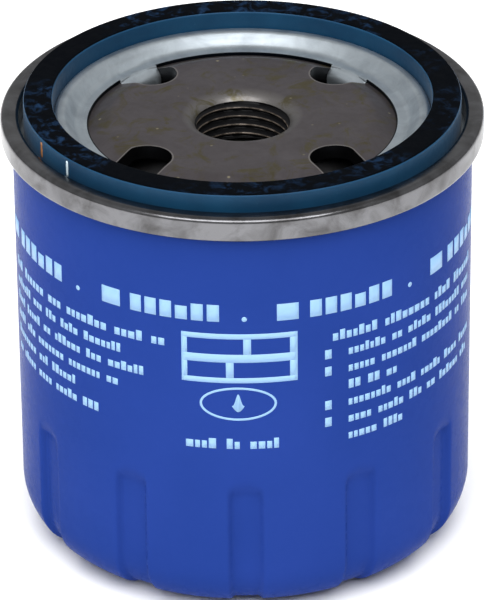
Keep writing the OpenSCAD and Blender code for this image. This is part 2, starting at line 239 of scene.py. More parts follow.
class Nodes:
    """A short way to write a node tree. Coordinates are in millimetres."""

    def __init__(self, name):
        self.mat = bpy.data.materials.new(name)
        self.mat.use_nodes = True
        self.tree = self.mat.node_tree
        self.bsdf = self.tree.nodes["Principled BSDF"]
        coord = self.tree.nodes.new("ShaderNodeTexCoord")
        scale = self.tree.nodes.new("ShaderNodeVectorMath")
        scale.operation = "SCALE"
        scale.inputs["Scale"].default_value = 1 / MM
        self.tree.links.new(coord.outputs["Object"], scale.inputs[0])
        self.mm = scale.outputs[0]

    def link(self, a, b):
        self.tree.links.new(a, b)

    def set(self, **values):
        for key, value in values.items():
            self.bsdf.inputs[key.replace("_", " ")].default_value = value
        return self

    def noise(self, scale, detail=3.0, rough=0.55, stretch=None, distort=0.0):
        n = self.tree.nodes.new("ShaderNodeTexNoise")
        n.inputs["Scale"].default_value = scale
        n.inputs["Detail"].default_value = detail
        n.inputs["Roughness"].default_value = rough
        n.inputs["Distortion"].default_value = distort
        self.link(self.stretched(stretch), n.inputs["Vector"])
        return n.outputs["Fac"]

    def stretched(self, stretch):
        if not stretch:
            return self.mm
        v = self.tree.nodes.new("ShaderNodeVectorMath")
        v.operation = "MULTIPLY"
        v.inputs[1].default_value = stretch
        self.link(self.mm, v.inputs[0])
        return v.outputs[0]

    def voronoi(self, scale, feature="F1"):
        n = self.tree.nodes.new("ShaderNodeTexVoronoi")
        n.feature = feature
        n.inputs["Scale"].default_value = scale
        self.link(self.mm, n.inputs["Vector"])
        return n.outputs["Distance"]

    def ramp(self, fac, stops):
        r = self.tree.nodes.new("ShaderNodeValToRGB")
        while len(r.color_ramp.elements) < len(stops):
            r.color_ramp.elements.new(0.5)
        for e, (pos, col) in zip(r.color_ramp.elements, stops):
            e.position = pos
            e.color = (*col, 1) if isinstance(col, tuple) else (col, col, col, 1)
        self.link(fac, r.inputs["Fac"])
        return r.outputs["Color"]

    def mix(self, fac, a, b, blend="MIX"):
        m = self.tree.nodes.new("ShaderNodeMix")
        m.data_type = "RGBA"
        m.blend_type = blend
        for socket, value in ((m.inputs[0], fac), (m.inputs[6], a), (m.inputs[7], b)):
            if hasattr(value, "is_linked"):
                self.link(value, socket)
            elif isinstance(value, tuple):
                socket.default_value = (*value, 1)
            else:
                socket.default_value = value
        return m.outputs[2]

    def math(self, op, a, b=0.0, clamp=False):
        m = self.tree.nodes.new("ShaderNodeMath")
        m.operation = op
        m.use_clamp = clamp
        for socket, value in ((m.inputs[0], a), (m.inputs[1], b)):
            if hasattr(value, "is_linked"):
                self.link(value, socket)
            else:
                socket.default_value = value
        return m.outputs[0]

    def separate(self):
        s = self.tree.nodes.new("ShaderNodeSeparateXYZ")
        self.link(self.mm, s.inputs[0])
        return s.outputs

    def ring_coords(self):
        """(radius, angle) round the Z axis."""
        x, y, _ = self.separate()
        r = self.math("SQRT", self.math("ADD", self.math("MULTIPLY", x, x),
                                        self.math("MULTIPLY", y, y)))
        return r, self.math("ARCTAN2", y, x)

    def slot_coords(self):
        """(along, across) measured from the axis in the frame of the nearest inlet slot."""
        r, a = self.ring_coords()
        turned = self.math("ADD", a, math.tau - math.radians(SLOT_FIRST) + math.pi / 4)
        a = self.math("SUBTRACT", self.math("MODULO", turned, math.pi / 2), math.pi / 4)
        across = self.math("ABSOLUTE", self.math("MULTIPLY", r, self.math("SINE", a)))
        return self.math("MULTIPLY", r, self.math("COSINE", a)), across

    def bump(self, height, strength=0.2, distance_mm=0.05):
        b = self.tree.nodes.new("ShaderNodeBump")
        b.inputs["Strength"].default_value = strength
        b.inputs["Distance"].default_value = distance_mm * MM
        self.link(height, b.inputs["Height"])
        self.link(b.outputs["Normal"], self.bsdf.inputs["Normal"])

    def to(self, socket, value):
        self.link(value, self.bsdf.inputs[socket])


def paint_material():
    m = Nodes("can_enamel")
    m.set(Metallic=0.0, Specular_IOR_Level=0.01)
    tone = m.noise(0.045, 2.0, 0.5)
    base = m.ramp(tone, [(0.35, (0.0135, 0.038, 0.208)), (0.68, (0.016, 0.042, 0.228))])
    grime = m.ramp(m.noise(0.9, 6.0, 0.62), [(0.58, 0.0), (0.80, 0.10)])
    base = m.mix(grime, base, (0.012, 0.035, 0.22))
    m.to("Base Color", base)
    m.to("Roughness", m.ramp(m.noise(0.5, 4.0), [(0.3, 0.24), (0.7, 0.31)]))
    peel = m.noise(1.6, 2.0, 0.5)
    m.bump(peel, 0.05, 0.03)
    return m.mat


def zinc_material(name, light, dark, rough=(0.42, 0.58)):
    m = Nodes(name)
    m.set(Metallic=1.0)
    cloud = m.noise(0.22, 4.0, 0.6, distort=0.6)
    base = m.ramp(cloud, [(0.32, dark), (0.62, light)])
    r, a = m.ring_coords()
    streak = m.tree.nodes.new("ShaderNodeCombineXYZ")
    m.link(m.math("MULTIPLY", r, 2.2), streak.inputs[0])
    m.link(m.math("MULTIPLY", a, 1.5), streak.inputs[1])
    n = m.tree.nodes.new("ShaderNodeTexNoise")
    n.inputs["Scale"].default_value = 1.6
    n.inputs["Detail"].default_value = 5.0
    m.link(streak.outputs[0], n.inputs["Vector"])
    base = m.mix(m.math("MULTIPLY", n.outputs["Fac"], 0.22), base, dark)
    # On the lid, a thin near-black line along the opening edge, left off the tabs: painted
    # shadow of the gap and step between lid and plate.
    if name == "zinc_lid":
        _, across = m.slot_coords()
        rim = m.math("LESS_THAN", m.math("ABSOLUTE", m.math("SUBTRACT", r, OPEN_R)), 0.17)
        clear = m.math("GREATER_THAN", across, TAB_W / 2)
        base = m.mix(m.math("MULTIPLY", rim, clear), base, (0.006, 0.009, 0.014))
    m.to("Base Color", base)
    m.to("Roughness", m.ramp(n.outputs["Fac"], [(0.3, rough[0]), (0.7, rough[1])]))
    fine = m.noise(3.2, 5.0, 0.65)
    m.bump(fine, 0.12, 0.03)
    return m.mat


def plate_material():
    m = Nodes("oiled_plate_steel")
    m.set(Metallic=0.88)
    cloud = m.noise(0.16, 5.0, 0.62, distort=0.8)
    base = m.ramp(cloud, [(0.30, (0.100, 0.088, 0.092)), (0.70, (0.130, 0.117, 0.124))])
    r, _ = m.ring_coords()
    # The lead-in round the bore is painted lighter: a painted highlight where the funnel catches
    # the light.
    lead_in_highlight = m.ramp(m.math("MULTIPLY", m.math("SUBTRACT", r, BORE_R), 1.0 / LEAD_R, clamp=True),
                   [(0.35, 1.0), (0.95, 0.0)])
    base = m.mix(lead_in_highlight, base, (0.200, 0.190, 0.185))
    stain = m.ramp(m.noise(0.19, 6.0, 0.68, distort=1.4), [(0.52, 0.0), (0.64, 0.75)])
    base = m.mix(stain, base, (0.100, 0.084, 0.030))
    speck = m.ramp(m.voronoi(0.30), [(0.0, 1.0), (0.10, 0.0)])
    base = m.mix(speck, base, (0.52, 0.46, 0.30))
    along, across = m.slot_coords()
    inner = m.math("MINIMUM", m.math("SUBTRACT", along, SLOT_C), 0.0)
    reach = m.math("SQRT", m.math("ADD", m.math("MULTIPLY", inner, inner),
                                  m.math("MULTIPLY", across, across)))
    out = m.math("SUBTRACT", reach, SLOT_R)
    # Slot walls painted near-black: painted shade inside the slots. The narrow lighter band
    # along the slot rims is worn steel.
    wall = m.ramp(out, [(0.02, 1.0), (0.04, 0.0)])
    worn = m.ramp(out, [(0.04, 0.0), (0.07, 0.8), (0.20, 0.7), (0.32, 0.0)])
    base = m.mix(wall, m.mix(worn, base, (0.30, 0.28, 0.27)), (0.006, 0.006, 0.007))
    m.to("Base Color", base)
    m.to("Roughness", m.ramp(m.noise(0.7, 5.0, 0.6), [(0.3, 0.36), (0.7, 0.50)]))
    grain = m.noise(2.6, 6.0, 0.7)
    m.bump(grain, 0.22, 0.04)
    return m.mat


def worn_edge_material():
    m = Nodes("worn_edge_steel")
    m.set(Metallic=1.0)
    m.to("Base Color", m.ramp(m.noise(1.2, 4.0), [(0.3, (0.30, 0.28, 0.27)),
                                                   (0.7, (0.50, 0.48, 0.46))]))
    m.to("Roughness", m.ramp(m.noise(2.0, 3.0), [(0.3, 0.26), (0.7, 0.40)]))
    return m.mat


def thread_material():
    m = Nodes("cut_thread_steel")
    m.set(Metallic=0.6)
    r, _ = m.ring_coords()
    depth = m.math("MULTIPLY", m.math("SUBTRACT", r, BORE_R), 1.0 / THREAD_DEPTH, clamp=True)
    worn = m.ramp(m.noise(0.9, 4.0), [(0.35, (0.035, 0.027, 0.020)), (0.7, (0.22, 0.18, 0.15))])
    # Thread roots painted near-black: painted shade down in the grooves; the crests keep the
    # steel's own tone.
    m.to("Base Color", m.mix(m.ramp(depth, [(0.04, 0.0), (0.16, 1.0)]), worn,
                             (0.006, 0.006, 0.007)))
    m.to("Roughness", m.ramp(m.noise(1.5, 3.0), [(0.3, 0.35), (0.7, 0.5)]))
    return m.mat


def gasket_materials():
    top = Nodes("gasket_top_rubber_sheen")
    top.set(Specular_IOR_Level=0.02)
    # Black rubber top with blue blotches: the blotches are a painted blue reflection.
    sheen_blotch = top.ramp(top.noise(0.42, 6.0, 0.66, distort=0.5), [(0.50, 0.0), (0.66, 1.0)])
    area = top.ramp(top.noise(0.055, 2.0), [(0.42, 0.0), (0.62, 1.0)])
    both = top.mix(1.0, sheen_blotch, area, "MULTIPLY")
    top.to("Base Color", top.mix(both, (0.0008, 0.0012, 0.0020), (0.006, 0.018, 0.044)))
    top.to("Roughness", top.ramp(top.noise(0.8, 4.0), [(0.3, 0.50), (0.7, 0.66)]))
    top.bump(top.noise(2.4, 5.0, 0.7), 0.25, 0.04)
    side = Nodes("gasket_side_painted_sheen")
    side.set(Specular_IOR_Level=0.20, Sheen_Weight=0.05, Sheen_Roughness=0.4)
    tone = side.noise(0.12, 3.0)
    # The side walls are painted teal blue while the top is black: the same black rubber with a
    # painted blue sheen on the sides. The lighter flecks are dust.
    base = side.ramp(tone, [(0.30, (0.004, 0.030, 0.070)), (0.72, (0.006, 0.045, 0.098))])
    dust = side.ramp(side.noise(2.2, 6.0, 0.7), [(0.62, 0.0), (0.78, 0.35)])
    side.to("Base Color", side.mix(dust, base, (0.05, 0.13, 0.20)))
    side.to("Roughness", side.ramp(side.noise(1.0, 4.0), [(0.3, 0.42), (0.7, 0.58)]))
    side.bump(side.noise(2.8, 5.0, 0.7), 0.2, 0.04)
    return top.mat, side.mat


def rubber_material(name="valve_nitrile", tone=0.018):
    m = Nodes(name)
    m.set(Specular_IOR_Level=0.6)
    m.to("Base Color", m.ramp(m.noise(0.5, 4.0), [(0.3, (tone, tone, tone * 1.05)),
                                                   (0.7, (tone * 1.8, tone * 1.8, tone * 1.9))]))
    m.to("Roughness", m.ramp(m.noise(1.5, 3.0), [(0.3, 0.30), (0.7, 0.42)]))
    m.bump(m.noise(3.0, 4.0), 0.1, 0.03)
    return m.mat


def ink_material(name, colour, wear=0.72):
    m = Nodes(name)
    m.set(Specular_IOR_Level=0.45)
    thin = m.ramp(m.noise(1.8, 6.0, 0.7), [(wear, 0.0), (wear + 0.12, 0.5)])
    m.to("Base Color", m.mix(thin, colour, (0.05, 0.10, 0.36)))
    m.to("Roughness", m.ramp(m.noise(1.0, 2.0), [(0.3, 0.40), (0.7, 0.52)]))
    return m.mat


def paper_material():
    m = Nodes("resin_paper")
    fibre = m.noise(1.4, 6.0, 0.7, stretch=(1, 1, 0.25))
    m.to("Base Color", m.ramp(fibre, [(0.3, (0.62, 0.52, 0.32)), (0.7, (0.74, 0.65, 0.44))]))
    m.to("Roughness", m.ramp(fibre, [(0.3, 0.75), (0.7, 0.9)]))
    m.bump(fibre, 0.4, 0.05)
    return m.mat


def adhesive_material():
    m = Nodes("cap_adhesive")
    tone = m.noise(0.4, 4.0)
    m.to("Base Color", m.ramp(tone, [(0.3, (0.45, 0.36, 0.18)), (0.7, (0.56, 0.46, 0.26))]))
    m.to("Roughness", m.ramp(tone, [(0.3, 0.45), (0.7, 0.6)]))
    m.bump(m.noise(1.0, 4.0), 0.3, 0.08)
    return m.mat


PAINT = paint_material()
ZINC = zinc_material("zinc_lid", (0.70, 0.77, 0.82), (0.52, 0.58, 0.63))
SEAM = zinc_material("bare_seam_steel", (0.19, 0.19, 0.20), (0.085, 0.083, 0.085), (0.16, 0.28))
PLATE = plate_material()
EDGE = worn_edge_material()
THREAD = thread_material()
GASKET_TOP, GASKET_SIDE = gasket_materials()
NITRILE = rubber_material()
INK = ink_material("ink_light_blue", (0.24, 0.42, 0.66))
INK_ORANGE = ink_material("mark_orange", (0.36, 0.15, 0.05))
INK_WHITE = ink_material("mark_white", (0.55, 0.66, 0.72))
PAPER = paper_material()
ADHESIVE = adhesive_material()
CAP_STEEL = zinc_material("tinned_sheet", (0.60, 0.62, 0.64), (0.46, 0.48, 0.50))
SPRING_STEEL = zinc_material("spring_wire", (0.48, 0.50, 0.53), (0.32, 0.34, 0.36))
COMPOUND = rubber_material("seam_compound", 0.035)

for name, mat in {
    "seam_sealant": COMPOUND, "spot_welds": PLATE, "valve_sleeve": NITRILE, "valve_lip": NITRILE,
    "upper_end_cap": CAP_STEEL, "upper_potting": ADHESIVE, "pleated_media": PAPER,
    "media_clip": CAP_STEEL, "centre_tube": CAP_STEEL, "lower_potting": ADHESIVE,
    "lower_end_cap": CAP_STEEL, "bypass_cage": CAP_STEEL, "bypass_poppet": CAP_STEEL,
    "bypass_seal": NITRILE, "bypass_spring": SPRING_STEEL, "spring_seat": CAP_STEEL,
    "element_spring": SPRING_STEEL,
}.items():
    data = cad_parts[name].data
    data.materials.clear()
    data.materials.append(mat)

# ---------------------------------------------------------------------------------------------
# The can: closed end, flutes and wall
# ---------------------------------------------------------------------------------------------


def flute_shift(r, z, a):
    """How far the surface is pressed in at this angle and height."""
    sector = math.tau / FLUTES
    off = (a + math.pi / 2 + sector / 2) % sector - sector / 2
    across = abs(CAN_R * math.sin(off))
    side = 1 - smooth(2.05, 2.95, across)
    top = 1 - smooth(FLUTE_TOP - 1.3, FLUTE_TOP + 0.15, z + 0.10 * across * across)
    fade = smooth(CAN_R - BASE_R - 1.2, CAN_R - BASE_R + 2.0, r)
    return FLUTE_DEPTH * side * top * fade


def build_can():
    foot = CAN_R - BASE_R - STAND_W
    hook = SEAM_TOP - LID_T - SEAM_GAP
    outer = fillet_path([
        (0.02, DISH, 0), (foot - 2.2, DISH, 1.5), (foot, 0, 1.5), (CAN_R, 0, BASE_R),
        (CAN_R, hook - 0.1, 0)], 14)
    outer = resample(outer, 1.2)
    c = Vector((CAN_R - BASE_R, BASE_R))
    inner = []
    for r, z in outer:
        if z >= BASE_R:
            inner.append((r - CAN_T, z))
        elif r > c.x:
            d = (Vector((r, z)) - c).normalized() * (BASE_R - CAN_T)
            inner.append((c.x + d.x, c.y + d.y))
        else:
            inner.append((r, z + CAN_T))
    profile = outer + inner[::-1]
    sector = math.tau / FLUTES
    marks = [-0.5, -0.42, -0.34, -0.27, -0.215]
    marks += [-0.19 + 0.38 * k / 24 for k in range(25)]
    marks += [0.215, 0.27, 0.34, 0.42]
    angles = [-math.pi / 2 + sector * (k + m) for k in range(FLUTES) for m in marks]
    verts = []
    for a in angles:
        for r, z in profile:
            rr = max(0.0, r - flute_shift(r, z, a))
            verts.append((rr * math.cos(a), rr * math.sin(a), z))
    can = new_object("can_shell", verts,
                     grid_faces(len(angles), len(profile), True, True), "housing", [PAINT])
    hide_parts("can")
    hook_path = fillet_path([
        (CAN_R - CAN_T / 2, hook - 0.3, 0), (CAN_R - CAN_T / 2, hook - CAN_T / 2, 0.12),
        (SEAM_R - LID_T - SEAM_GAP - CAN_T / 2, hook - CAN_T / 2, 0.95),
        (SEAM_R - LID_T - SEAM_GAP - CAN_T / 2, SEAM_LOW + 0.9, 0)], 5)
    body_hook = sheet_ring("can_body_hook", hook_path, CAN_T, "housing", [PAINT])


def sheet_ring(name, path, t, body, materials, segments=192):
    """A revolved strip of sheet with this centre line."""
    left, right = [], []
    n = len(path)
    for i, p in enumerate(path):
        a, b = path[max(i - 1, 0)], path[min(i + 1, n - 1)]
        d = Vector((b[0] - a[0], b[1] - a[1])).normalized()
        left.append((p[0] + d.y * t / 2, p[1] - d.x * t / 2))
        right.append((p[0] - d.y * t / 2, p[1] + d.x * t / 2))
    return revolve(name, left + right[::-1], body, materials, segments)


# ---------------------------------------------------------------------------------------------
# The seaming lid with its tabs, and the rolled seam
# ---------------------------------------------------------------------------------------------


def build_lid():
    path = fillet_path([
        (OPEN_R, FLANGE_Z, 0), (GROOVE_R - 3.1, FLANGE_Z, 1.6), (GROOVE_R - 1.25, RIDGE_Z, 0.75),
        (GROOVE_R, RIDGE_Z, 0.45), (GROOVE_R, GROOVE_Z, 0.4), (CHUCK_R, GROOVE_Z, 0.4)], 7)
    path = [path[0]] + resample(path, 0.7)[1:]
    tab_path = fillet_path([
        (OPEN_R + 0.35, FLANGE_Z, 0), (OPEN_R - 0.15, FLANGE_Z, 0.8),
        (TAB_FACE, FLANGE_Z - TAB_SLOPE, 1.6), (TAB_FACE, FLANGE_Z - LID_T / 2 - TAB_H, 0)], 9)
    tab_path = [p for p in tab_path if p[0] < OPEN_R - 0.02]
    half = math.asin(TAB_W / 2 / OPEN_R)
    angles, owner = lid_angles(half)
    verts = []
    cols = len(path)
    for a in angles:
        for r, z in path:
            z -= dent(r, a) if r < GROOVE_R - 1 else 0
            verts.append((r * math.cos(a), r * math.sin(a), z))
    faces = grid_faces(len(angles), cols, True, False)
    for k in range(SLOTS):
        columns = [(i * cols, a) for i, (a, o) in enumerate(zip(angles, owner)) if o == k]
        add_tab(slot_angle(k), columns, tab_path, verts, faces)
    lid = new_object("seaming_lid_shell", verts, faces, "housing", [ZINC])
    thicken(lid, LID_T, 0).use_even_offset = True
    bevel = lid.modifiers.new("edge", "BEVEL")
    bevel.width = 0.06 * MM
    bevel.segments = 2
    bevel.limit_method = "ANGLE"
    bevel.angle_limit = math.radians(50)
    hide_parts("seaming_lid")


def lid_angles(half):
    """The angles round the lid, each with the tab it crosses or None. A tab is 2 * half wide."""
    tab_n, gap_n = 14, 34
    angles, owner = [], []
    for k in range(SLOTS):
        centre = slot_angle(k)
        for i in range(tab_n + 1):
            angles.append(centre - half + 2 * half * i / tab_n)
            owner.append(k)
        for i in range(1, gap_n):
            angles.append(centre + half + (math.tau / SLOTS - 2 * half) * i / gap_n)
            owner.append(None)
    return angles, owner


def add_tab(centre, columns, path, verts, faces):
    """A flat tab bent down from the opening. A column is (its vertex on the edge, its angle)."""
    along = Vector((math.cos(centre), math.sin(centre), 0))
    side = Vector((-math.sin(centre), math.cos(centre), 0))
    rows = []
    for edge_vertex, a in columns:
        across = OPEN_R * math.sin(a - centre)
        first = OPEN_R * math.cos(a - centre)
        row = [edge_vertex]
        for r, z in path:
            p = along * min(r, first - 0.02) + side * across + Vector((0, 0, z))
            row.append(len(verts))
            verts.append(tuple(p))
        rows.append(row)
    for ra, rb in zip(rows, rows[1:]):
        for j in range(len(ra) - 1):
            faces.append((ra[j], rb[j], rb[j + 1], ra[j + 1]))


def build_seam():
    seam_path = fillet_path([
        (CHUCK_R, GROOVE_Z + 0.35, 0), (CHUCK_R, SEAM_TOP - LID_T / 2, 0.4),
        (SEAM_R - LID_T / 2, SEAM_TOP - LID_T / 2, 0.65),
        (SEAM_R - LID_T / 2, SEAM_LOW + LID_T / 2, 0.42),
        (CAN_R + SEAM_GAP + LID_T / 2, SEAM_LOW + LID_T / 2, 0.34),
        (CAN_R + SEAM_GAP + LID_T / 2, SEAM_TOP - 1.9, 0)], 9)
    seam = sheet_ring("rolled_seam", resample(seam_path, 0.6), LID_T, "housing", [SEAM], 256)


def dent(r, a):
    """The shallow press mark behind each bent tab."""
    best = 0.0
    for k in range(SLOTS):
        c = slot_angle(k)
        along = r * math.cos(a - c) - (OPEN_R + 1.35)
        across = r * math.sin(a - c)
        if abs(across) < 5 and r * math.cos(a - c) > 0:
            d = (1 - smooth(0.35, 0.95, abs(along))) * (1 - smooth(2.0, 3.1, abs(across)))
            best = max(best, DENT_DEPTH * d)
    return best


# ---------------------------------------------------------------------------------------------
# The threaded plate: crown, slots, lead-in and a cut thread
# ---------------------------------------------------------------------------------------------


EDGE_INDEX, THREAD_INDEX = 1, 2


def thread_radius(z, a):
    phase = (z / THREAD_PITCH - a / math.tau + THREAD_PHASE) % 1.0
    wave = abs(phase - 0.5) * 2
    return BORE_R + THREAD_DEPTH * min(1.0, max(0.0, (wave - 0.10) / 0.78))


def build_plate():
    under = CROWN_Z - PLATE_T
    brim = FLANGE_Z - LID_T / 2 - 0.02
    rim = GROOVE_Z - LID_T / 2 - 0.02
    rim_r = CHUCK_R - LID_T / 2 - 0.25
    lead_low = CROWN_Z - LEAD_R
    bore = [(BORE_R, NECK_LOW + (lead_low - NECK_LOW) * k / 60) for k in range(61)]
    lead = [(BORE_R + LEAD_R - LEAD_R * math.cos(t), lead_low + LEAD_R * math.sin(t))
            for t in [math.pi / 2 * k / 22 for k in range(1, 23)]]
    rest = fillet_path([
        (BORE_R + LEAD_R, CROWN_Z, 0), (SHOULDER_IN, CROWN_Z, 3.4),
        (OPEN_R - 0.25, brim, 1.8), (GROOVE_R - 2.1, brim, 0.5), (GROOVE_R - 0.9, rim, 0.5),
        (rim_r, rim, 0), (rim_r, rim - PLATE_T, 0), (GROOVE_R - 1.8, rim - PLATE_T, 0.8),
        (GROOVE_R - 3.0, brim - PLATE_T, 0.5), (OPEN_R - 0.7, brim - PLATE_T, 1.5),
        (SHOULDER_IN - 0.45, under, 3), (NECK_R, under, 0.8), (NECK_R, NECK_LOW, 0)], 6)
    profile = bore + lead + resample(rest, 1.3)[1:]

    def shape(r, z, a):
        return max(r, thread_radius(z, a)) if z < THREAD_TOP and r < NECK_R - 0.3 else r

    plate = revolve("threaded_plate_body", profile, "housing", [PLATE, EDGE, THREAD], 224, True,
                    shape)
    cut_slots(plate, under - 5, CROWN_Z + 4)
    bevel_slots(plate)
    for poly in plate.data.polygons:
        c = poly.center / MM
        if c.z < THREAD_TOP + 0.05 and math.hypot(c.x, c.y) < NECK_R - 0.5:
            poly.material_index = THREAD_INDEX
    plate.data.shade_smooth()
    sharp_edges(plate, 42)
    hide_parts("threaded_plate")


def slot_cutter(angle, low, high):
    outline = slot_outline(26)
    n = len(outline)
    rot = Matrix.Rotation(angle, 3, "Z")
    verts = [rot @ Vector((x, y, z)) for z in (low, high) for x, y in outline]
    faces = [tuple(range(n))[::-1], tuple(range(n, 2 * n))]
    faces += [(i, (i + 1) % n, n + (i + 1) % n, n + i) for i in range(n)]
    mesh = bpy.data.meshes.new("slot_cutter")
    mesh.from_pydata([v * MM for v in verts], [], faces)
    return link_object("slot_cutter", mesh)


def cut_slots(plate, low, high):
    """Cut the inlet slots out of the plate's mesh."""
    cutters = [slot_cutter(slot_angle(k), low, high) for k in range(SLOTS)]
    for cutter in cutters:
        mod = plate.modifiers.new("slot", "BOOLEAN")
        mod.operation = "DIFFERENCE"
        mod.solver = "EXACT"
        mod.object = cutter
    bpy.context.view_layer.update()
    deps = bpy.context.evaluated_depsgraph_get()
    cut = bpy.data.meshes.new_from_object(plate.evaluated_get(deps))
    plate.modifiers.clear()
    plate.data = cut
    for cutter in cutters:
        bpy.data.objects.remove(cutter)


def slot_outline(steps):
    """The inlet slot in plan: a round inner end and straight flanks to its outer end."""
    pts = [(SLOT_END, -SLOT_R), (SLOT_END, SLOT_R)]
    pts += [(SLOT_C - SLOT_R * math.sin(math.pi * k / steps),
             SLOT_R * math.cos(math.pi * k / steps)) for k in range(steps + 1)]
    return pts


def bevel_slots(plate):
    """Round the top edge of each slot, where the plate is worn bright."""
    bm = bmesh.new()
    bm.from_mesh(plate.data)
    bm.normal_update()
    edges = []
    for e in bm.edges:
        if len(e.link_faces) != 2:
            continue
        r = (e.verts[0].co + e.verts[1].co).xy.length / 2 / MM
        ups = sorted(f.normal.z for f in e.link_faces)
        if 12 < r < OPEN_R and abs(ups[0]) < 0.3 and ups[1] > 0.6:
            edges.append(e)
    bmesh.ops.bevel(bm, geom=edges, offset=0.22 * MM, segments=3, profile=0.5, affect="EDGES",
                    material=EDGE_INDEX, clamp_overlap=True)
    bm.to_mesh(plate.data)
    bm.free()


# ---------------------------------------------------------------------------------------------
# Gasket and anti-drain valve
# ---------------------------------------------------------------------------------------------


def build_gasket():
    profile = fillet_path([
        (GASKET_IN, GASKET_LOW, 0.3), (GASKET_R, GASKET_LOW, 0.3),
        (GASKET_R, TOP, 0.42), (GASKET_IN, TOP, 0.42)], 6, True)
    profile = resample(profile + [profile[0]], 0.9)[:-1]

    def wavy(r, z, a):
        w = 0.035 * math.sin(3 * a + 0.6) + 0.02 * math.sin(7 * a + 2)
        return r + w * smooth(GASKET_LOW, TOP, z) - 0.03

    def pick(poly):
        zs = poly.center.z / MM
        return 0 if zs > TOP - 0.12 else 1

    gasket = revolve("gasket_ring", profile, "housing", [GASKET_TOP, GASKET_SIDE], 240, True,
                     wavy, face_mat=pick)
    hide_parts("sealing_gasket")
    for name, angle, width, z0, z1, mat in (
            ("gasket_mark_orange", -154.5, 0.75, TOP - 3.4, TOP - 0.7, INK_ORANGE),
            ("gasket_mark_white", -141.5, 0.55, TOP - 3.3, TOP - 0.6, INK_WHITE)):
        mark_patch(name, angle, width, z0, z1, GASKET_R, mat)


def mark_patch(name, angle, width, z0, z1, radius, mat):
    a0 = math.radians(angle)
    rng = random.Random(name)
    rows, cols = 9, 5
    verts = []
    for i in range(rows):
        z = z0 + (z1 - z0) * i / (rows - 1)
        w = width * (1 - 0.25 * rng.random()) * (0.6 if i in (0, rows - 1) else 1)
        for j in range(cols):
            a = a0 + (w * (j / (cols - 1) - 0.5)) / radius
            r = radius + 0.012 + 0.035 * math.sin(3 * a0 + 0.6) - 0.02
            verts.append((r * math.cos(a), r * math.sin(a), z))
    mark = new_object(name, verts, grid_faces(rows, cols), "housing", [mat])
    thicken(mark, 0.02, 0)


def build_valve():
    low, high = node_mm("valve_membrane")
    sleeve_r = node_mm("valve_sleeve")[1][0] - 2
    skirt_w = SLOT_C - sleeve_r
    lip_in = SLOT_END + 0.6
    lip_low = node_mm("valve_lip")[0][2]
    root = high[2] - 0.45
    valley = low[2] + 0.45
    path = fillet_path([
        (sleeve_r, root, 0), (sleeve_r + 0.23 * skirt_w, root, 0.6),
        (sleeve_r + 0.76 * skirt_w, valley, 1), (SLOT_C + 1, valley, 1.5),
        (lip_in - 0.7, lip_low + 0.6, 0.5), (lip_in, lip_low + 0.6, 0)], 8)
    skirt = sheet_ring("valve_skirt", resample(path, 0.5), 0.88, None, [NITRILE], 192)
    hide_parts("valve_membrane")
    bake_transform(skirt)


def build_coil(name, node):
    """A copy of the imported spring, smooth shaded, in place of the CAD part."""
    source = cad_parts[node]
    mesh = source.data.copy()
    mesh.transform(source.matrix_world)
    coil = link_object(name, mesh)
    mesh.shade_smooth()
    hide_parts(node)
    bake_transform(coil)


# ---------------------------------------------------------------------------------------------
# Printing on the can: generic marks only, with no letters, names or numbers
# ---------------------------------------------------------------------------------------------

FILM_T = 0.012
FILM_R = CAN_R + FILM_T


class Print:
    """Flat shapes in (arc length from the front, height), wrapped on the can as one film."""

    def __init__(self, name):
        self.name, self.verts, self.faces = name, [], []

    def quad_strip(self, lower, upper):
        base = len(self.verts)
        for (s0, z0), (s1, z1) in zip(lower, upper):
            self.verts += [(s0, z0), (s1, z1)]
        for i in range(len(lower) - 1):
            a = base + 2 * i
            self.faces.append((a, a + 2, a + 3, a + 1))

    def bar(self, s0, s1, z0, z1):
        n = max(1, math.ceil((s1 - s0) / 0.7))
        xs = [s0 + (s1 - s0) * k / n for k in range(n + 1)]
        self.quad_strip([(x, z0) for x in xs], [(x, z1) for x in xs])

    def stroke(self, pts, width, closed=False):
        pts = resample(list(pts) + ([pts[0]] if closed else []), 0.6)
        n = len(pts)
        left, right = [], []
        for i, p in enumerate(pts):
            a = pts[(i - 1) % (n - 1)] if closed else pts[max(i - 1, 0)]
            b = pts[(i + 1) % (n - 1)] if closed else pts[min(i + 1, n - 1)]
            if closed and i in (0, n - 1):
                a, b = pts[n - 2], pts[1]
            d = Vector((b[0] - a[0], b[1] - a[1])).normalized()
            left.append((p[0] + d.y * width / 2, p[1] - d.x * width / 2))
            right.append((p[0] - d.y * width / 2, p[1] + d.x * width / 2))
        self.quad_strip(left, right)

    def ellipse(self, s, z, rs, rz, width=None):
        pts = [(s + rs * math.cos(t), z + rz * math.sin(t))
               for t in [math.tau * k / 48 for k in range(48)]]
        if width:
            self.stroke(pts, width, True)
        else:
            xs = [-math.cos(math.pi * k / 24) for k in range(25)]
            self.quad_strip([(s + rs * x, z - rz * math.sqrt(max(0, 1 - x * x))) for x in xs],
                            [(s + rs * x, z + rz * math.sqrt(max(0, 1 - x * x))) for x in xs])

    def words(self, s0, s1, z, height, rng, gap=0.75):
        """A line of blank text: blocks of varied height and width, grouped as words."""
        s = s0
        while s < s1 - height * 0.6:
            for _ in range(rng.randint(2, 8)):
                w = height * rng.uniform(0.42, 0.66)
                if s + w > s1:
                    return
                top = height * (1.0 if rng.random() < 0.28 else 0.72)
                self.bar(s, s + w, z, z + top)
                s += w + height * 0.16
            s += height * gap

    def finish(self, mat, radius):
        verts = []
        for s, z in self.verts:
            a = -math.pi / 2 + s / radius
            verts.append((radius * math.cos(a), radius * math.sin(a), z))
        obj = new_object(self.name, verts, self.faces, "housing", [mat])
        thicken(obj, FILM_T, 1)


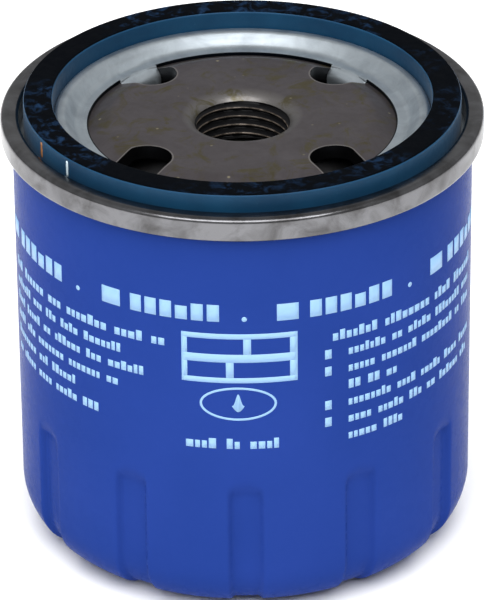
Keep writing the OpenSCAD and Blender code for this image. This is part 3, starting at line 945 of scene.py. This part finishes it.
def print_row():
    """Eight groups of blocks round the can, with a dot between them."""
    row = Print("print_row")
    z, h = 53.3, 2.9
    pitch = math.tau * CAN_R / 8
    for k in range(8):
        s = pitch * (k - 4)
        row.ellipse(s, z + 0.5, 0.42, 0.42)
        row.bar(s + 5.0, s + 8.4, z, z + h)
        for n in range(6):
            row.bar(s + 10.2 + 2.5 * n, s + 12.1 + 2.5 * n, z, z + h * (1.0 if n != 3 else 0.8))
    row.finish(INK, FILM_R)


def print_panel():
    """A panel of two rows of blocks."""
    panel = Print("print_panel")
    p0, p1, z0, z1 = -9.8, 8.2, 42.6, 51.2
    panel.bar(p0, p1, z0, z0 + 0.9)
    panel.bar(p0, p1, z0 + 3.6, z0 + 5.0)
    panel.bar(p0, p1, z0 + 7.7, z1)
    for low, cuts in ((z0 + 0.9, (0.9, 6.9, 8.1, 16.8)), (z0 + 5.0, (0.9, 9.6, 10.8, 16.8))):
        edges = [p0] + [p0 + c for c in cuts] + [p1]
        for a, b in zip(edges[::2], edges[1::2]):
            panel.bar(a, b, low, low + 2.7)
    panel.finish(INK, FILM_R)


def print_drop():
    """An oil drop in an oval."""
    drop = Print("print_drop")
    cx, cz = -1.05, 38.9
    drop.ellipse(cx, cz, 5.8, 2.75, 0.38)
    xs = [k / 16 for k in range(17)]
    drop.quad_strip([(cx - 1.0 + 2.0 * x, cz - 0.35 - 1.05 * math.sin(math.pi * x)) for x in xs],
                    [(cx - 1.0 + 2.0 * x, cz - 0.35 + 2.1 * math.sin(math.pi * x) ** 3)
                     for x in xs])
    drop.finish(INK, FILM_R)


def print_foot(rng):
    """One short line below the drop."""
    foot = Print("print_foot")
    foot.words(-9.3, 5.6, 30.9, 1.8, rng)
    foot.finish(INK, FILM_R)


def print_left(rng):
    """The notes left of the panel."""
    left = Print("print_notes_left")
    for k, end in enumerate((-12.2, -18.6, -15.5, -19.8, -28.9, -24.7)):
        left.words(-50.0, end, 48.2 - 3.0 * k, 1.75 if k == 0 else 1.55, rng)
    left.finish(INK, FILM_R)


def print_right(rng):
    """The notes right of the panel, some with a block before the line."""
    right = Print("print_notes_right")
    for k, end in enumerate((50.0, 49.0, 49.0, 26.0, 50.0, 48.0, 27.5)):
        zz = 48.4 - 3.0 * k
        if k in (1, 2, 4, 5):
            right.bar(12.6, 13.7, zz, zz + 1.6)
        right.words(13.9 if k == 0 else 16.6, end, zz, 1.75 if k == 0 else 1.55, rng)
    right.finish(INK, FILM_R)


def print_back(rng):
    """The notes on the back of the can."""
    back = Print("print_notes_back")
    for k in range(5):
        back.words(80.0, 140.0 - 9 * (k % 2), 47.0 - 3.3 * k, 1.5, rng)
    back.finish(INK, FILM_R)


# ---------------------------------------------------------------------------------------------
# Camera, light and floor
# ---------------------------------------------------------------------------------------------

LENS = 305.136
SHIFT_X = -0.0034167
CAMERA_BACK = 713.9
CAMERA_UP = 355.7
CAMERA_DOWN_ANGLE = 28.81
CAMERA_ROLL = 0.571
FLOOR_HALF = 3000
FLOOR_GAP = 0.2


def build_camera():
    data = bpy.data.cameras.new("camera")
    cam = link_object("camera", data)
    data.sensor_width = 36
    data.sensor_fit = "AUTO"
    data.lens = LENS
    data.shift_x = SHIFT_X
    data.dof.use_dof = False
    data.clip_start, data.clip_end = 0.05, 20
    tilt, roll = math.radians(90 - CAMERA_DOWN_ANGLE), math.radians(CAMERA_ROLL)
    cam.matrix_world = (
        Matrix.Translation(Vector((0, -CAMERA_BACK, TOP + CAMERA_UP)) * MM)
        @ Matrix.Rotation(tilt, 4, "X") @ Matrix.Rotation(-roll, 4, "Z"))
    bpy.context.scene.camera = cam


def area_light(name, loc, size, power, target=(0, 0, 0.045), colour=(1, 1, 1)):
    data = bpy.data.lights.new(name, "AREA")
    data.shape = "RECTANGLE"
    data.size, data.size_y = size
    data.energy = power
    data.color = colour
    obj = link_object(name, data)
    obj.location = loc
    obj.rotation_euler = (Vector(target) - Vector(loc)).to_track_quat("-Z", "Y").to_euler()
    return obj


def build_stage():
    floor_mat = Nodes("floor_pale")
    tone = floor_mat.ramp(floor_mat.noise(0.01, 2.0), [(0.3, 0.86), (0.7, 0.88)])
    floor_mat.to("Base Color", tone)
    floor_mat.set(Roughness=0.7)
    half = FLOOR_HALF
    verts = [(-half, -half, 0), (half, -half, 0), (half, half, 0), (-half, half, 0)]
    mesh = bpy.data.meshes.new("floor")
    mesh.from_pydata([Vector(v) * MM for v in verts], [], [(0, 1, 2, 3)])
    mesh.materials.append(floor_mat.mat)
    floor = link_object("floor", mesh)
    floor.location.z = -FLOOR_GAP * MM
    world = bpy.data.worlds.new("studio")
    world.use_nodes = True
    tree = world.node_tree
    coord = tree.nodes.new("ShaderNodeTexCoord")
    split = tree.nodes.new("ShaderNodeSeparateXYZ")
    dome = tree.nodes.new("ShaderNodeValToRGB")
    stops = [(0.0, 0.30), (0.35, 0.42), (0.65, 0.42), (0.80, 0.34), (1.0, 0.30)]
    while len(dome.color_ramp.elements) < len(stops):
        dome.color_ramp.elements.new(0.5)
    for e, (pos, level) in zip(dome.color_ramp.elements, stops):
        e.position = pos
        e.color = (level * 0.985, level * 0.995, level, 1)
    tree.links.new(coord.outputs["Generated"], split.inputs[0])
    tree.links.new(split.outputs["Z"], dome.inputs["Fac"])
    tree.links.new(dome.outputs["Color"], tree.nodes["Background"].inputs["Color"])
    tree.nodes["Background"].inputs["Strength"].default_value = 1.0
    bpy.context.scene.world = world
    bpy.context.scene.view_settings.view_transform = "Standard"
    fill = area_light("overhead_fill", (0, -0.08, 0.85), (1.3, 0.9), 15.0)
    fill.visible_glossy = False
    area_light("front_softbox", (0, -0.60, 0.66), (1.1, 0.36), 5.5)
    side = area_light("side_left", (-0.80, -0.35, 0.30), (0.30, 0.45), 1.4)
    side.visible_glossy = False


build_camera()
build_can()
build_lid()
build_seam()
build_plate()
build_gasket()
build_valve()
build_coil("element_coil", "element_spring")
build_coil("bypass_coil", "bypass_spring")
print_row()
print_panel()
print_drop()
print_rng = random.Random(7)
print_foot(print_rng)
print_left(print_rng)
print_right(print_rng)
print_back(print_rng)
build_stage()

bpy.context.view_layer.update()
